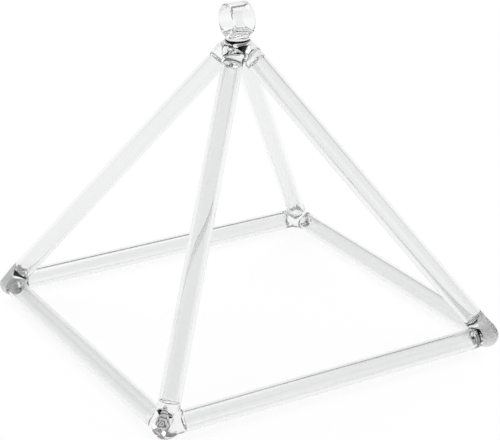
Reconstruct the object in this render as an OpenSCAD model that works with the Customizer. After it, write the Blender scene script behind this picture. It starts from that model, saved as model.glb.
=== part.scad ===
// Open square pyramid fused from clear quartz tube, with a hanging ring on its apex.
// Millimetres, +Z up. The origin is on the floor, under the apex. Base tubes run along X and Y.
// Corners: front is at -X -Y, right at +X -Y, back at +X +Y and left at -X +Y.

/* [Frame] */
// Side of the square base, measured between the tube axes
base_side = 240; // [200:1:280]
// Height of the point where the four edge tube axes meet, above the base tube axes
apex_rise = 191.5; // [170:0.5:230]

/* [Tube] */
// Outer diameter of every tube
tube_d = 14; // [10:0.5:18]
// Wall thickness of every tube
tube_wall = 2; // [1.2:0.1:2.6]

/* [Corners] */
// Radius of the solid glass ball at each corner, as a share of the tube radius
ball_share = 1.115; // [1.08:0.005:1.16]
// How far each corner's ground foot reaches below the tubes, as a share of the tube radius
foot_share = 0.14; // [0.06:0.01:0.15]
// Slope of the ground facet on each corner's outer side, above the horizontal
facet_slope = 52.7; // [50:0.1:56]
// Distance of the ground facet from the corner's centre, as a share of the tube radius
facet_share = 0.879; // [0.84:0.001:0.93]

/* [Hanging ring] */
// Diameter of the hole through the ring
ring_bore = 14.5; // [12:0.1:16]
// Wall thickness of the ring
ring_wall = 4; // [3:0.1:5]
// Length of the ring along its hole
ring_len = 16.5; // [15.5:0.1:20]
// Gap between the apex point and the underside of the ring
ring_gap = 1.4; // [1:0.1:3]
// Diameter of the solid neck under the ring
neck_d = 14.8; // [13:0.1:15]

/* [Hidden] */
$fn = 64;

// Tube radii, and the domed end that seals each bore
tube_r = tube_d / 2;
bore_r = tube_r - tube_wall;
dome_r = 1.1 * bore_r;
dome_off = sqrt(dome_r * dome_r - bore_r * bore_r);

// Base tube axes stand this far above the floor, so that only the ground feet touch it
axis_z = tube_r * (1 + foot_share);
// Edge tubes: run, length between centres and slope
edge_run = base_side / sqrt(2);
edge_len = sqrt(edge_run * edge_run + apex_rise * apex_rise);
edge_slope = atan2(apex_rise, edge_run);
apex_z = axis_z + apex_rise;

// Length of solid glass from each centre to where a tube is fused on
base_stub = 1.9 * tube_r;
edge_stub = 2.3 * tube_r;
hub_stub = 2.9 * tube_r;

// Corner ball, set a little inwards and down
ball_r = ball_share * tube_r;
ball_in = 0.07 * tube_r;
ball_down = 0.086 * tube_r;

// Flat seam between the hub and the neck, below the apex point
seam_drop = 0.31 * tube_r;
hub_ball_r = 1.4 * tube_r;

ring_r = ring_bore / 2 + ring_wall;
ring_z = apex_z + ring_gap + ring_r;
rim_round = 0.45 * ring_wall;
neck_r = neck_d / 2;
neck_foot_r = neck_r + 2.2;

function corner_turn(k) = 45 + 90 * k;
function corner_at(k) = [
    -cos(corner_turn(k)) * edge_run, -sin(corner_turn(k)) * edge_run, axis_z
];

module quartz() { color([0.90, 0.94, 0.95, 0.42]) children(); }
module knuckle_glass() { color([0.86, 0.89, 0.90, 0.60]) children(); }

// Tube along +X from x0 to x1
module tube_x(x0, x1) {
    translate([x0, 0, 0]) rotate([0, 90, 0]) difference() {
        cylinder(r = tube_r, h = x1 - x0);
        translate([0, 0, -1]) cylinder(r = bore_r, h = x1 - x0 + 2);
    }
}

// Solid stub along +X, with a domed hollow where the bore of a tube meets it
module stub_x(len) { rotate([0, 90, 0]) cylinder(r = tube_r, h = len); }
module dome_x(len) { translate([len + dome_off, 0, 0]) sphere(r = dome_r); }

// Frame of corner k: +X points to the middle of the base
module at_corner(k) { translate(corner_at(k)) rotate([0, 0, corner_turn(k)]) children(); }

// Base tube from corner k to the next one, counter-clockwise seen from above
module base_tube(k) {
    quartz() at_corner(k) rotate([0, 0, -45]) tube_x(base_stub, base_side - base_stub);
}

// Edge tube from corner k up to the apex
module edge_tube(k) {
    quartz() at_corner(k) rotate([0, -edge_slope, 0]) tube_x(edge_stub, edge_len - hub_stub);
}

// Solid corner where two base tubes and an edge tube are fused, ground on its outside and foot
module corner(k) {
    knuckle_glass() at_corner(k) difference() {
        union() {
            translate([ball_in, 0, -ball_down]) sphere(r = ball_r);
            for (a = [-45, 45]) rotate([0, 0, a]) stub_x(base_stub);
            rotate([0, -edge_slope, 0]) stub_x(edge_stub);
        }
        for (a = [-45, 45]) rotate([0, 0, a]) dome_x(base_stub);
        rotate([0, -edge_slope, 0]) dome_x(edge_stub);
        rotate([0, 90 - facet_slope, 0])
            translate([-facet_share * tube_r - 20, -20, -30]) cube([20, 40, 60]);
        translate([-20, -20, -axis_z - 20]) cube([40, 40, 20]);
    }
}

// Solid hub where the four edge tubes are fused, flat on top for the neck
module apex_hub() {
    knuckle_glass() translate([0, 0, apex_z]) difference() {
        union() {
            translate([0, 0, -hub_ball_r]) sphere(r = hub_ball_r);
            for (k = [0:3]) rotate([0, 0, corner_turn(k)]) rotate([0, edge_slope, 0]) stub_x(hub_stub);
        }
        for (k = [0:3]) rotate([0, 0, corner_turn(k)]) rotate([0, edge_slope, 0]) dome_x(hub_stub);
        translate([-25, -25, -seam_drop]) cube([50, 50, 30]);
    }
}

// Ring profile with rounded rims, turned about the ring's own axis, which lies along X
module ring_solid() {
    h = ring_len / 2 - rim_round;
    translate([0, 0, ring_z]) rotate([0, 90, 0]) rotate_extrude($fn = 96) union() {
        translate([ring_bore / 2, -h]) square([ring_wall, 2 * h]);
        translate([ring_bore / 2 + rim_round, -ring_len / 2])
            square([ring_wall - 2 * rim_round, ring_len]);
        for (x = [ring_bore / 2 + rim_round, ring_r - rim_round], y = [-h, h])
            translate([x, y]) circle(r = rim_round);
    }
}

// Solid neck: a flared foot on the hub, and a saddle on top that follows the ring
module ring_neck() {
    foot = neck_foot_r - neck_r;
    top = ring_gap + 0.8 * ring_wall;
    knuckle_glass() difference() {
        translate([0, 0, apex_z - seam_drop]) rotate_extrude() difference() {
            square([neck_foot_r, top + seam_drop]);
            translate([neck_foot_r, foot]) circle(r = foot);
            translate([neck_r, foot]) square([foot + 1, top + seam_drop]);
        }
        ring_solid();
    }
}

module hanging_ring() { knuckle_glass() ring_solid(); }

base_tube(0);  // base_tube_front
base_tube(1);  // base_tube_right
base_tube(2);  // base_tube_back
base_tube(3);  // base_tube_left
edge_tube(0);  // edge_tube_front
edge_tube(1);  // edge_tube_right
edge_tube(2);  // edge_tube_back
edge_tube(3);  // edge_tube_left
corner(0);  // corner_front
corner(1);  // corner_right
corner(2);  // corner_back
corner(3);  // corner_left
apex_hub();
ring_neck();
hanging_ring();
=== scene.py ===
import math

import bmesh
import bpy
import numpy as np
from mathutils import Matrix, Vector


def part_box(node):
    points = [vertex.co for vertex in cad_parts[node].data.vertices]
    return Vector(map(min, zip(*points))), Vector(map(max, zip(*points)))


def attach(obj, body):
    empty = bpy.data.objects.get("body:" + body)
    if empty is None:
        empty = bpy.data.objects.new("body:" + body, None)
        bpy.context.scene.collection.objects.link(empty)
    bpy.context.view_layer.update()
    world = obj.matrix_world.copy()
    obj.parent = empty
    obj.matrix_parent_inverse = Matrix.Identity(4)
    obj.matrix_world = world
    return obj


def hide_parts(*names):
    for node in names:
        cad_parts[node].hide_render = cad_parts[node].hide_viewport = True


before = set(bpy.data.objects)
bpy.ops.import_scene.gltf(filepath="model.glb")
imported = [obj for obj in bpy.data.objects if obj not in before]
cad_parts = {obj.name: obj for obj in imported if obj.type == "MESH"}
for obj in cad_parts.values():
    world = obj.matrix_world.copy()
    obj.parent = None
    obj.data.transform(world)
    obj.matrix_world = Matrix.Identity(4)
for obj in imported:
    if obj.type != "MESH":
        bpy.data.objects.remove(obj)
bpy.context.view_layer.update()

MM = 0.001
scene = bpy.context.scene

# ---------------------------------------------------------------- sizes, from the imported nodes, in mm
def box_mm(node):
    lo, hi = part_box(node)
    return np.array(lo) * 1000, np.array(hi) * 1000


_lo, _hi = box_mm("base_tube_front")
TUBE_R = (_hi[2] - _lo[2]) / 2
AXIS_Z = (_hi[2] + _lo[2]) / 2
HALF = -(_hi[1] + _lo[1]) / 2
BASE_STUB = HALF + _lo[0]
_lo, _hi = box_mm("hanging_ring")
RING_R = (_hi[2] - _lo[2]) / 2
RING_Z = (_hi[2] + _lo[2]) / 2
RING_LEN = _hi[0] - _lo[0]
RING_GAP = 1.4
APEX_Z = RING_Z - RING_R - RING_GAP
RISE = APEX_Z - AXIS_Z
RUN = HALF * math.sqrt(2)
EDGE_LEN = math.hypot(RUN, RISE)
SLOPE = math.atan2(RISE, RUN)
EDGE_STUB = 2.3 * TUBE_R
HUB_STUB = 2.9 * TUBE_R
_co = np.array([v.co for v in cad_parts["base_tube_front"].data.vertices]) * 1000
BORE_R = float(np.hypot(_co[:, 1] + HALF, _co[:, 2] - AXIS_Z).min())
DOME_R = 1.1 * BORE_R
DOME_OFF = math.sqrt(DOME_R ** 2 - BORE_R ** 2)
_lo, _hi = box_mm("ring_neck")
SEAM_Z = _lo[2] - APEX_Z
NECK_FOOT_R = (_hi[0] - _lo[0]) / 2
NECK_R = NECK_FOOT_R - 2.2
RING_WALL = 4.0
BALL = (0.07 * TUBE_R, 0.0, -0.086 * TUBE_R)
FACET_SLOPE, FACET_AT = math.radians(52.7), 0.879 * TUBE_R
NAMES = ("front", "right", "back", "left")


def turn(k):
    return math.radians(45 + 90 * k)


def node_at(k):
    return np.array([-math.cos(turn(k)) * RUN, -math.sin(turn(k)) * RUN, AXIS_Z])


# ---------------------------------------------------------------- materials
def tree_of(name):
    m = bpy.data.materials.new(name)
    m.use_nodes = True
    nt = m.node_tree
    nt.nodes.clear()
    out = nt.nodes.new("ShaderNodeOutputMaterial")
    return m, nt, out


def noise(nt, vector, scale, detail=2.0, rough=0.5):
    n = nt.nodes.new("ShaderNodeTexNoise")
    n.inputs["Scale"].default_value = scale
    n.inputs["Detail"].default_value = detail
    n.inputs["Roughness"].default_value = rough
    nt.links.new(vector, n.inputs["Vector"])
    return n.outputs["Fac"]


def mapped(nt, scale):
    tc = nt.nodes.new("ShaderNodeTexCoord")
    mp = nt.nodes.new("ShaderNodeMapping")
    mp.inputs["Scale"].default_value = scale
    nt.links.new(tc.outputs["Object"], mp.inputs["Vector"])
    return mp.outputs["Vector"]


def ranged(nt, value, a, b, c, d):
    r = nt.nodes.new("ShaderNodeMapRange")
    for i, x in enumerate((a, b, c, d)):
        r.inputs[1 + i].default_value = x
    nt.links.new(value, r.inputs[0])
    return r.outputs[0]


def blended(nt, fac, ca, cb):
    m = nt.nodes.new("ShaderNodeMix")
    m.data_type = "RGBA"
    m.inputs[6].default_value = (*ca, 1)
    m.inputs[7].default_value = (*cb, 1)
    nt.links.new(fac, m.inputs[0])
    return m.outputs[2]


def bumped(nt, height, distance, strength=1.0, after=None):
    b = nt.nodes.new("ShaderNodeBump")
    b.inputs["Distance"].default_value = distance
    b.inputs["Strength"].default_value = strength
    nt.links.new(height, b.inputs["Height"])
    if after is not None:
        nt.links.new(after, b.inputs["Normal"])
    return b.outputs["Normal"]


def glass_shader(nt, out, color, rough, normal):
    p = nt.nodes.new("ShaderNodeBsdfPrincipled")
    p.inputs["IOR"].default_value = 1.458
    p.inputs["Transmission Weight"].default_value = 1.0
    nt.links.new(color, p.inputs["Base Color"])
    nt.links.new(rough, p.inputs["Roughness"])
    nt.links.new(normal, p.inputs["Normal"])
    nt.links.new(p.outputs[0], out.inputs["Surface"])
    return p


def tube_quartz():
    """Drawn tube: faint lines along its length, and a long slow waver in the wall."""
    m, nt, out = tree_of("tube_quartz")
    lines = noise(nt, mapped(nt, (0.012, 1, 1)), 900, 2.0, 0.55)
    waver = noise(nt, mapped(nt, (0.25, 1, 1)), 60, 1.0)
    n = bumped(nt, lines, 0.000004)
    n = bumped(nt, waver, 0.00004, 1.0, n)
    haze = noise(nt, mapped(nt, (1, 1, 1)), 90, 4.0, 0.6)
    rough = ranged(nt, haze, 0.45, 0.75, 0.0, 0.03)
    color = blended(nt, waver, (0.916, 0.920, 0.920), (0.930, 0.933, 0.933))
    glass_shader(nt, out, color, rough, n)
    return m


def fused_quartz():
    """Flame-worked glass: soft ripples where it flowed, and a few finer folds."""
    m, nt, out = tree_of("fused_quartz")
    ripple = noise(nt, mapped(nt, (1, 1, 1)), 190, 1.0)
    folds = noise(nt, mapped(nt, (1, 1, 2.2)), 900, 2.0, 0.6)
    n = bumped(nt, ripple, 0.00004)
    n = bumped(nt, folds, 0.000004, 1.0, n)
    haze = noise(nt, mapped(nt, (1, 1, 1)), 240, 3.0, 0.6)
    rough = ranged(nt, haze, 0.45, 0.75, 0.0, 0.03)
    color = blended(nt, ripple, (0.925, 0.930, 0.930), (0.945, 0.948, 0.948))
    glass_shader(nt, out, color, rough, n)
    return m


def ground_quartz():
    """The outside of a corner, ground matt by hand in small circles."""
    m, nt, out = tree_of("ground_quartz")
    tc = nt.nodes.new("ShaderNodeTexCoord")
    vec = nt.nodes.new("ShaderNodeMapping")
    vec.vector_type = "POINT"
    c = np.array([-math.sin(FACET_SLOPE), 0, math.cos(FACET_SLOPE)]) * FACET_AT * MM
    vec.inputs["Location"].default_value = [-x for x in c]
    nt.links.new(tc.outputs["Object"], vec.inputs["Vector"])
    wave = nt.nodes.new("ShaderNodeTexWave")
    wave.wave_type = "RINGS"
    wave.rings_direction = "SPHERICAL"
    wave.wave_profile = "SIN"
    wave.inputs["Scale"].default_value = 150
    wave.inputs["Distortion"].default_value = 6.0
    wave.inputs["Detail"].default_value = 1.5
    wave.inputs["Detail Scale"].default_value = 2.2
    nt.links.new(vec.outputs["Vector"], wave.inputs["Vector"])
    grit = noise(nt, mapped(nt, (1, 1, 1)), 4200, 2.0, 0.7)
    n = bumped(nt, wave.outputs["Fac"], 0.00015)
    n = bumped(nt, grit, 0.00004, 1.0, n)
    rough = ranged(nt, wave.outputs["Fac"], 0.0, 1.0, 0.45, 0.7)
    color = blended(nt, ranged(nt, wave.outputs["Fac"], 0.1, 0.4, 0.0, 1.0), (0.16, 0.165, 0.165), (0.95, 0.95, 0.95))
    p = glass_shader(nt, out, color, rough, n)
    p.inputs["Transmission Weight"].default_value = 0.25
    return m


def frosted_quartz():
    """The rest of a ground corner, rubbed matt without a pattern: fine bright specks and scratches."""
    m, nt, out = tree_of("frosted_quartz")
    specks = noise(nt, mapped(nt, (1, 1, 1)), 800, 3.0, 0.8)
    scratches = noise(nt, mapped(nt, (1, 0.35, 1)), 2600, 2.0, 0.6)
    n = bumped(nt, specks, 0.00012)
    n = bumped(nt, scratches, 0.00004, 1.0, n)
    rough = ranged(nt, specks, 0.3, 0.7, 0.4, 0.7)
    color = blended(nt, ranged(nt, specks, 0.40, 0.54, 0.0, 1.0), (0.66, 0.67, 0.67), (1.0, 1.0, 1.0))
    p = glass_shader(nt, out, color, rough, n)
    p.inputs["Transmission Weight"].default_value = 0.2
    return m


def seam():
    """The plane where two melted pieces meet: one body of glass, so light goes straight through."""
    m, nt, out = tree_of("fused_seam")
    t = nt.nodes.new("ShaderNodeBsdfTransparent")
    nt.links.new(t.outputs[0], out.inputs["Surface"])
    return m


MAT = {"tube": tube_quartz(), "fused": fused_quartz(), "ground": ground_quartz(), "frosted": frosted_quartz(), "seam": seam()}

# ---------------------------------------------------------------- mesh helpers
def smin(a, b, k):
    h = np.maximum(k - np.abs(a - b), 0) / k
    return np.minimum(a, b) - h * h * k * 0.25


def smax(a, b, k):
    return -smin(-a, -b, k)


def ball(p, c, r):
    return np.linalg.norm(p - np.asarray(c), axis=1) - r


def rod(p, d, r, length):
    """A rod along d, round at both ends."""
    d = np.asarray(d)
    t = np.clip(p @ d, 3, length)
    return np.linalg.norm(p - t[:, None] * d, axis=1) - r


def pocket(p, d, stub):
    """The hollow that closes a tube's bore, with its domed end inside the stub."""
    d = np.asarray(d)
    t = p @ d
    rad = np.linalg.norm(p - t[:, None] * d, axis=1)
    depth = DOME_R - DOME_OFF
    dome = (np.sqrt((rad / BORE_R) ** 2 + ((stub - t) / depth) ** 2) - 1) * depth
    return np.where(t > stub, rad - BORE_R, dome)


def nets(f, lo, hi, h):
    """Surface of f = 0 as vertices and quads, with every vertex moved onto the surface."""
    lo, hi = np.asarray(lo, float), np.asarray(hi, float)
    n = np.ceil((hi - lo) / h).astype(int) + 1
    ax = [lo[i] + h * np.arange(n[i]) for i in range(3)]
    F = np.empty(n)
    yz = np.stack(np.meshgrid(ax[1], ax[2], indexing="ij"), -1).reshape(-1, 2)
    step = max(1, 400000 // len(yz))
    for i in range(0, n[0], step):
        xs = ax[0][i : i + step]
        p = np.concatenate([np.repeat(xs, len(yz))[:, None], np.tile(yz, (len(xs), 1))], 1)
        F[i : i + step] = f(p).reshape(len(xs), n[1], n[2])
    neg = F < 0
    cs = n - 1
    count = np.zeros(cs, int)
    for dx in (0, 1):
        for dy in (0, 1):
            for dz in (0, 1):
                count += neg[dx : dx + cs[0], dy : dy + cs[1], dz : dz + cs[2]]
    mixed = (count > 0) & (count < 8)
    index = -np.ones(cs, int)
    ijk = np.argwhere(mixed)
    index[mixed] = np.arange(len(ijk))
    acc, cnt = np.zeros((len(ijk), 3)), np.zeros(len(ijk))
    for a in range(3):
        b, c = (a + 1) % 3, (a + 2) % 3
        for ob in (0, 1):
            for oc in (0, 1):
                p0 = ijk.copy()
                p0[:, b] += ob
                p0[:, c] += oc
                p1 = p0.copy()
                p1[:, a] += 1
                f0, f1 = F[tuple(p0.T)], F[tuple(p1.T)]
                hit = (f0 < 0) != (f1 < 0)
                t = np.where(hit, f0 / np.where(hit, f0 - f1, 1), 0)
                q = p0.astype(float)
                q[:, a] += t
                acc[hit] += q[hit]
                cnt[hit] += 1
    v = lo + h * acc / cnt[:, None]
    for _ in range(4):
        e = 0.02 * h
        f0 = f(v)
        g = np.stack([(f(v + e * ei) - f(v - e * ei)) / (2 * e) for ei in np.eye(3)], 1)
        move = -f0[:, None] * g / np.maximum((g * g).sum(1), 0.05)[:, None]
        size = np.linalg.norm(move, axis=1)
        move *= np.minimum(1, 0.5 * h / np.maximum(size, 1e-12))[:, None]
        v = v + move
    quads = []
    for a in range(3):
        b, c = (a + 1) % 3, (a + 2) % 3
        sl0, sl1 = [slice(None)] * 3, [slice(None)] * 3
        sl0[a], sl1[a] = slice(0, n[a] - 1), slice(1, n[a])
        s0, s1 = neg[tuple(sl0)], neg[tuple(sl1)]
        pts = np.argwhere(s0 != s1)
        ok = (pts[:, b] >= 1) & (pts[:, c] >= 1) & (pts[:, b] < cs[b]) & (pts[:, c] < cs[c])
        pts = pts[ok]
        cells = []
        for ob, oc in ((1, 1), (0, 1), (0, 0), (1, 0)):
            q = pts.copy()
            q[:, b] -= ob
            q[:, c] -= oc
            cells.append(index[tuple(q.T)])
        q = np.stack(cells, 1)
        flip = ~s0[tuple(pts.T)]
        q[flip] = q[flip][:, ::-1]
        quads.append(q)
    return v, np.concatenate(quads)


def to_bmesh(f, v, quads):
    """The mesh, with its faces turned to point out of the glass, which is up the slope of f."""
    mid = v[quads].mean(1)
    n = np.cross(v[quads[:, 2]] - v[quads[:, 0]], v[quads[:, 3]] - v[quads[:, 1]])
    n /= np.maximum(np.linalg.norm(n, axis=1), 1e-12)[:, None]
    if np.mean(f(mid + 0.05 * n) - f(mid - 0.05 * n)) < 0:
        quads = quads[:, ::-1]
    bm = bmesh.new()
    vs = [bm.verts.new(p) for p in v]
    for q in quads:
        bm.faces.new([vs[i] for i in q])
    bm.normal_update()
    for f in bm.faces:
        f.smooth = True
    return bm


def cut(bm, at, normal, material, keep="below"):
    """Cuts bm with a plane, keeps the side below it, and closes the cut with faces of one material."""
    at, normal = Vector(at), Vector(normal).normalized()
    if keep == "above":
        normal = -normal
    bmesh.ops.bisect_plane(
        bm, geom=bm.verts[:] + bm.edges[:] + bm.faces[:], dist=1e-5,
        plane_co=at, plane_no=normal, clear_outer=True,
    )
    rim = [e for e in bm.edges if e.is_boundary]
    made = bmesh.ops.triangle_fill(bm, edges=rim, use_beauty=True, normal=normal)
    new = [g for g in made["geom"] if isinstance(g, bmesh.types.BMFace)]
    for f in new:
        f.material_index = material
        f.smooth = False
        f.normal_update()
        if f.normal.dot(normal) < 0:
            f.normal_flip()
    return bm


def finish_mesh(bm, name, materials, matrix):
    for e in bm.edges:
        fs = e.link_faces
        if len(fs) == 2 and (not fs[0].smooth) != (not fs[1].smooth):
            e.smooth = False
    me = bpy.data.meshes.new(name)
    bmesh.ops.scale(bm, vec=(MM, MM, MM), verts=bm.verts)
    bm.to_mesh(me)
    bm.free()
    for m in materials:
        me.materials.append(MAT[m])
    o = bpy.data.objects.new(name, me)
    scene.collection.objects.link(o)
    o.matrix_world = matrix
    return o


def placed(at_mm, axes):
    m = Matrix(((axes[0][0], axes[1][0], axes[2][0], at_mm[0] * MM),
                (axes[0][1], axes[1][1], axes[2][1], at_mm[1] * MM),
                (axes[0][2], axes[1][2], axes[2][2], at_mm[2] * MM),
                (0, 0, 0, 1)))
    return m


def stand_for(o, node):
    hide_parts(node)
    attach(o, "root")
    return o


# ---------------------------------------------------------------- tubes
SEGMENTS = 144


def tube(node, start, direction, length):
    """Hollow tube with its own length as local X. Both ends are square cuts that are fused to a solid piece."""
    d = np.asarray(direction) / np.linalg.norm(direction)
    up = np.array([0, 0, 1.0])
    side = np.cross(up, d)
    side /= np.linalg.norm(side)
    top = np.cross(d, side)
    rings = max(2, int(round(length / 4)) + 1)
    bm = bmesh.new()
    ang = np.arange(SEGMENTS) * 2 * math.pi / SEGMENTS
    shells = []
    for r in (TUBE_R, BORE_R):
        shells.append([[bm.verts.new((x, r * math.cos(a), r * math.sin(a))) for a in ang]
                       for x in np.linspace(0, length, rings)])
    outer, inner = shells
    for i in range(rings - 1):
        for j in range(SEGMENTS):
            k = (j + 1) % SEGMENTS
            bm.faces.new((outer[i][j], outer[i][k], outer[i + 1][k], outer[i + 1][j])).smooth = True
            bm.faces.new((inner[i][j], inner[i + 1][j], inner[i + 1][k], inner[i][k])).smooth = True
    for i in (0, rings - 1):
        for j in range(SEGMENTS):
            k = (j + 1) % SEGMENTS
            loop = (outer[i][j], inner[i][j], inner[i][k], outer[i][k])
            f = bm.faces.new(loop if i == 0 else loop[::-1])
            f.material_index = 1
    bm.normal_update()
    return finish_mesh(bm, node + "_glass", ("tube", "seam"), placed(start, (d, side, top)))


for k in range(4):
    a, b = node_at(k), node_at((k + 1) % 4)
    d = (b - a) / np.linalg.norm(b - a)
    name = "base_tube_" + NAMES[k]
    stand_for(tube(name, a + d * BASE_STUB, d, 2 * HALF - 2 * BASE_STUB), name)
    d = (np.array([0, 0, APEX_Z]) - a) / EDGE_LEN
    name = "edge_tube_" + NAMES[k]
    stand_for(tube(name, a + d * EDGE_STUB, d, EDGE_LEN - EDGE_STUB - HUB_STUB), name)

# ---------------------------------------------------------------- corners
S = math.sqrt(0.5)
BASE_DIRS = [np.array([S, S, 0]), np.array([S, -S, 0])]
EDGE_DIR = np.array([math.cos(SLOPE), 0, math.sin(SLOPE)])


def corner_field(p):
    d = ball(p, BALL, 1.115 * TUBE_R)
    for e in BASE_DIRS + [EDGE_DIR]:
        d = smin(d, rod(p, e, TUBE_R, 40), 2.2)
    for e, stub in ((BASE_DIRS[0], BASE_STUB), (BASE_DIRS[1], BASE_STUB), (EDGE_DIR, EDGE_STUB)):
        d = np.maximum(d, -pocket(p, e, stub))
    return d


def corner_mesh():
    r = TUBE_R
    v, q = nets(corner_field, (-1.6 * r, -2.6 * r, -1.5 * r), (2.6 * r, 2.6 * r, 3.0 * r), 0.42)
    bm = to_bmesh(corner_field, v, q)
    for e, stub in ((BASE_DIRS[0], BASE_STUB), (BASE_DIRS[1], BASE_STUB), (EDGE_DIR, EDGE_STUB)):
        cut(bm, e * stub, e, 1)
    n = (-math.sin(FACET_SLOPE), 0, math.cos(FACET_SLOPE))
    cut(bm, [x * FACET_AT for x in n], n, 2)
    cut(bm, (0, 0, -AXIS_Z), (0, 0, -1), 0)
    return bm


corner_bm = corner_mesh()
for k in range(4):
    c, s = math.cos(turn(k)), math.sin(turn(k))
    name = "corner_" + NAMES[k]
    bm = corner_bm.copy()
    if k in (1, 3):
        # the two side corners are ground further round, up to where the tubes begin
        for f in bm.faces:
            p = np.array(f.calc_center_median())
            if f.material_index == 0 and max(p @ BASE_DIRS[0], p @ BASE_DIRS[1]) < 8.6 and p @ EDGE_DIR < 14.2:
                f.material_index = 3
    o = finish_mesh(bm, name + "_glass", ("fused", "seam", "ground", "frosted"),
                    placed(node_at(k), ((c, s, 0), (-s, c, 0), (0, 0, 1))))
    stand_for(o, name)
corner_bm.free()

# ---------------------------------------------------------------- hub, neck and ring: one flowing surface, parted at flat seams
HUB_DIRS = [np.array([math.cos(turn(k)) * math.cos(SLOPE), math.sin(turn(k)) * math.cos(SLOPE), -math.sin(SLOPE)])
            for k in range(4)]
RZ = RING_Z - APEX_Z


def crown_field(p):
    hub = ball(p, (0, 0, -1.4 * TUBE_R), 1.4 * TUBE_R)
    for e in HUB_DIRS:
        hub = smin(hub, rod(p, e, TUBE_R, 60), 1.6)
    hub = smax(hub, p[:, 2] - SEAM_Z + 0.2, 3.0)
    rho = np.linalg.norm(p[:, :2], axis=1)
    foot = np.clip((SEAM_Z + 3.4 - p[:, 2]) / 3.4, 0, 1)
    neck = np.maximum((rho - NECK_R - 2.2 * foot ** 1.3) * 0.8, np.abs(p[:, 2] + 2.3) - 6.7)
    d = smin(hub, neck, 2.4)
    # ring: rounded rectangle turned about an axis along X
    q = np.hypot(p[:, 1], p[:, 2] - RZ)
    rr = 0.45 * RING_WALL
    u = np.abs(q - (RING_R - RING_WALL / 2)) - (RING_WALL / 2 - rr)
    w = np.abs(p[:, 0]) - (RING_LEN / 2 - rr)
    ring = np.hypot(np.maximum(u, 0), np.maximum(w, 0)) + np.minimum(np.maximum(u, w), 0) - rr
    d = smin(d, ring, 2.0)
    for e in HUB_DIRS:
        d = np.maximum(d, -pocket(p, e, HUB_STUB))
    return d


v, q = nets(crown_field, (-19.5, -19.5, -23.5), (19.5, 19.5, RZ + RING_R + 1.5), 0.45)
crown = to_bmesh(crown_field, v, q)
for e in HUB_DIRS:
    cut(crown, e * HUB_STUB, e, 1)
LOW, HIGH = SEAM_Z + 0.35, RING_GAP - 0.25
hub_bm = cut(crown.copy(), (0, 0, LOW), (0, 0, 1), 1)
neck_bm = cut(cut(crown.copy(), (0, 0, LOW), (0, 0, 1), 1, "above"), (0, 0, HIGH), (0, 0, 1), 1)
ring_bm = cut(crown.copy(), (0, 0, HIGH), (0, 0, 1), 1, "above")
crown.free()
at = placed((0, 0, APEX_Z), ((1, 0, 0), (0, 1, 0), (0, 0, 1)))
stand_for(finish_mesh(hub_bm, "apex_hub_glass", ("fused", "seam"), at), "apex_hub")
stand_for(finish_mesh(neck_bm, "ring_neck_glass", ("fused", "seam"), at), "ring_neck")
stand_for(finish_mesh(ring_bm, "hanging_ring_glass", ("fused", "seam"), at), "hanging_ring")

# ---------------------------------------------------------------- floor, light and camera
def floor():
    m, nt, out = tree_of("pale_floor")
    p = nt.nodes.new("ShaderNodeBsdfPrincipled")
    fleck = noise(nt, mapped(nt, (1, 1, 1)), 3, 2.0)
    nt.links.new(blended(nt, fleck, (0.198, 0.198, 0.198), (0.202, 0.202, 0.202)), p.inputs["Base Color"])
    p.inputs["Roughness"].default_value = 1.0
    p.inputs["Specular IOR Level"].default_value = 0.0
    p.inputs["Emission Color"].default_value = (1, 1, 1, 1)
    p.inputs["Emission Strength"].default_value = 0.90
    nt.links.new(p.outputs[0], out.inputs["Surface"])
    bm = bmesh.new()
    bmesh.ops.create_grid(bm, x_segments=8, y_segments=8, size=6.0)
    me = bpy.data.meshes.new("floor")
    bm.to_mesh(me)
    bm.free()
    me.materials.append(m)
    o = bpy.data.objects.new("floor", me)
    scene.collection.objects.link(o)
    o.location = (0, 0, -0.0001)


floor()

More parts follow.
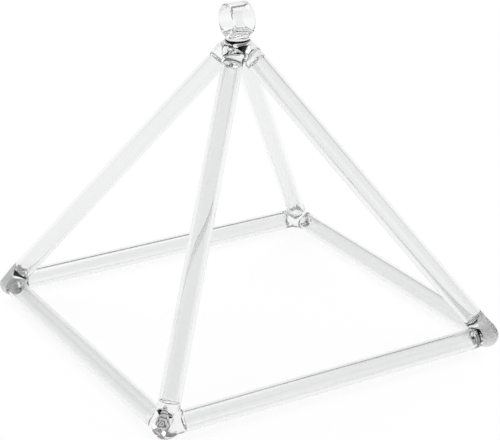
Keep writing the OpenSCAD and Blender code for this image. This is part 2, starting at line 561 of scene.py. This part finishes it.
world = bpy.data.worlds.new("studio")
scene.world = world
world.use_nodes = True
nt = world.node_tree
nt.nodes.clear()
wout = nt.nodes.new("ShaderNodeOutputWorld")
bg = nt.nodes.new("ShaderNodeBackground")
tc = nt.nodes.new("ShaderNodeTexCoord")
sep = nt.nodes.new("ShaderNodeSeparateXYZ")
ramp = nt.nodes.new("ShaderNodeValToRGB")
ramp.color_ramp.interpolation = "EASE"
els = ramp.color_ramp.elements
els[0].position, els[0].color = 0.14, (1.0, 1.0, 1.0, 1)
els[1].position, els[1].color = 0.46, (0.2, 0.2, 0.2, 1)
nt.links.new(tc.outputs["Generated"], sep.inputs[0])
nt.links.new(sep.outputs["Z"], ramp.inputs["Fac"])
nt.links.new(ramp.outputs["Color"], bg.inputs["Color"])
nt.links.new(bg.outputs[0], wout.inputs["Surface"])


def softbox(name, at, look, size, power):
    data = bpy.data.lights.new(name, "AREA")
    data.shape = "RECTANGLE"
    data.size, data.size_y = size
    data.energy = power
    o = bpy.data.objects.new(name, data)
    scene.collection.objects.link(o)
    o.location = at
    o.rotation_mode = "QUATERNION"
    o.rotation_quaternion = (Vector(look) - Vector(at)).to_track_quat("-Z", "Y")
    return o


softbox("softbox_over", (0.2, 0.5, 1.5), (0, 0, 0.1), (1.2, 1.2), 8.0)


def camera():
    az, el, roll = math.radians(-29.73), math.radians(22.45), math.radians(-0.541)
    back = np.array([math.sin(az) * math.cos(el), -math.cos(az) * math.cos(el), math.sin(el)])
    right = np.array([math.cos(az), math.sin(az), 0.0])
    up = np.cross(back, right)
    r2 = math.cos(roll) * right + math.sin(roll) * up
    u2 = -math.sin(roll) * right + math.cos(roll) * up
    a = 2 * HALF * MM
    eye = np.array([0, 0, AXIS_Z * MM]) + a * (0.0275 * r2 + 0.2506 * u2 + 4.816 * back)
    data = bpy.data.cameras.new("camera")
    data.sensor_width = 36
    data.lens = 121.1
    data.clip_start, data.clip_end = 0.05, 50
    o = bpy.data.objects.new("camera", data)
    scene.collection.objects.link(o)
    o.matrix_world = Matrix(((r2[0], u2[0], back[0], eye[0]),
                             (r2[1], u2[1], back[1], eye[1]),
                             (r2[2], u2[2], back[2], eye[2]),
                             (0, 0, 0, 1)))
    scene.camera = o


camera()

scene.view_settings.view_transform = "Standard"
scene.view_settings.look = "None"
c = scene.cycles
c.max_bounces = 40
c.transmission_bounces = 36
c.glossy_bounces = 24
c.diffuse_bounces = 3
c.transparent_max_bounces = 48
c.caustics_reflective = True
c.caustics_refractive = True
c.sample_clamp_indirect = 8.0
c.use_denoising = True
